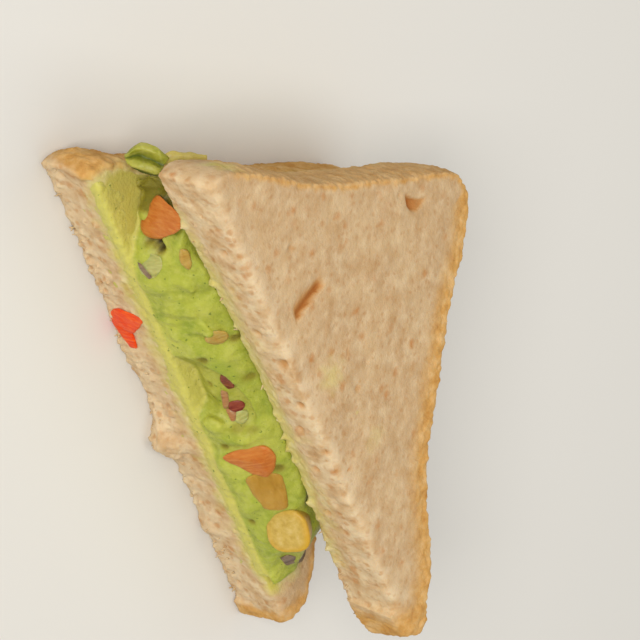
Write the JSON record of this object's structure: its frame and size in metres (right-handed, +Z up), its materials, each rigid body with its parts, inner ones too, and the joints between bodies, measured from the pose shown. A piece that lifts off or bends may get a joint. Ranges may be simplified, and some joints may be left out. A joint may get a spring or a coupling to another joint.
{
  "type": "guacamole sandwich half",
  "caption": "Triangular half of a sandwich of light wholemeal bread filled with guacamole, diced tomato, onion, corn and lettuce, lying flat with its cut face to the front.",
  "frame": {"origin": "middle of the bounding box, at the flat base of the lower slice", "axes": "+X along the cut from the tip at the end of the short crust to the tip at the end of the long crust; the cut face looks along -Y and the square crust corner points to +Y; +Z up"},
  "size_m": [0.129, 0.0764, 0.0407],
  "materials": {
    "bread": "matt, porous crumb",
    "guacamole": "moist, soft sheen",
    "tomato": "wet",
    "corn": "moist",
    "onion": "moist",
    "lettuce": "soft sheen"
  },
  "bodies": {
    "root": {"bottom_bread": "bread", "top_bread": "bread", "guacamole": "guacamole", "tomato_upper": "tomato", "tomato_bit": "tomato", "tomato_wedge": "tomato", "tomato_cube": "tomato", "tomato_loose": "tomato", "corn_kernel": "corn", "onion_left": "onion", "onion_middle": "onion", "onion_chip": "onion", "onion_right": "onion", "lettuce_curl": "lettuce", "lettuce_left": "lettuce", "lettuce_right": "lettuce"}
  },
  "joints": []
}
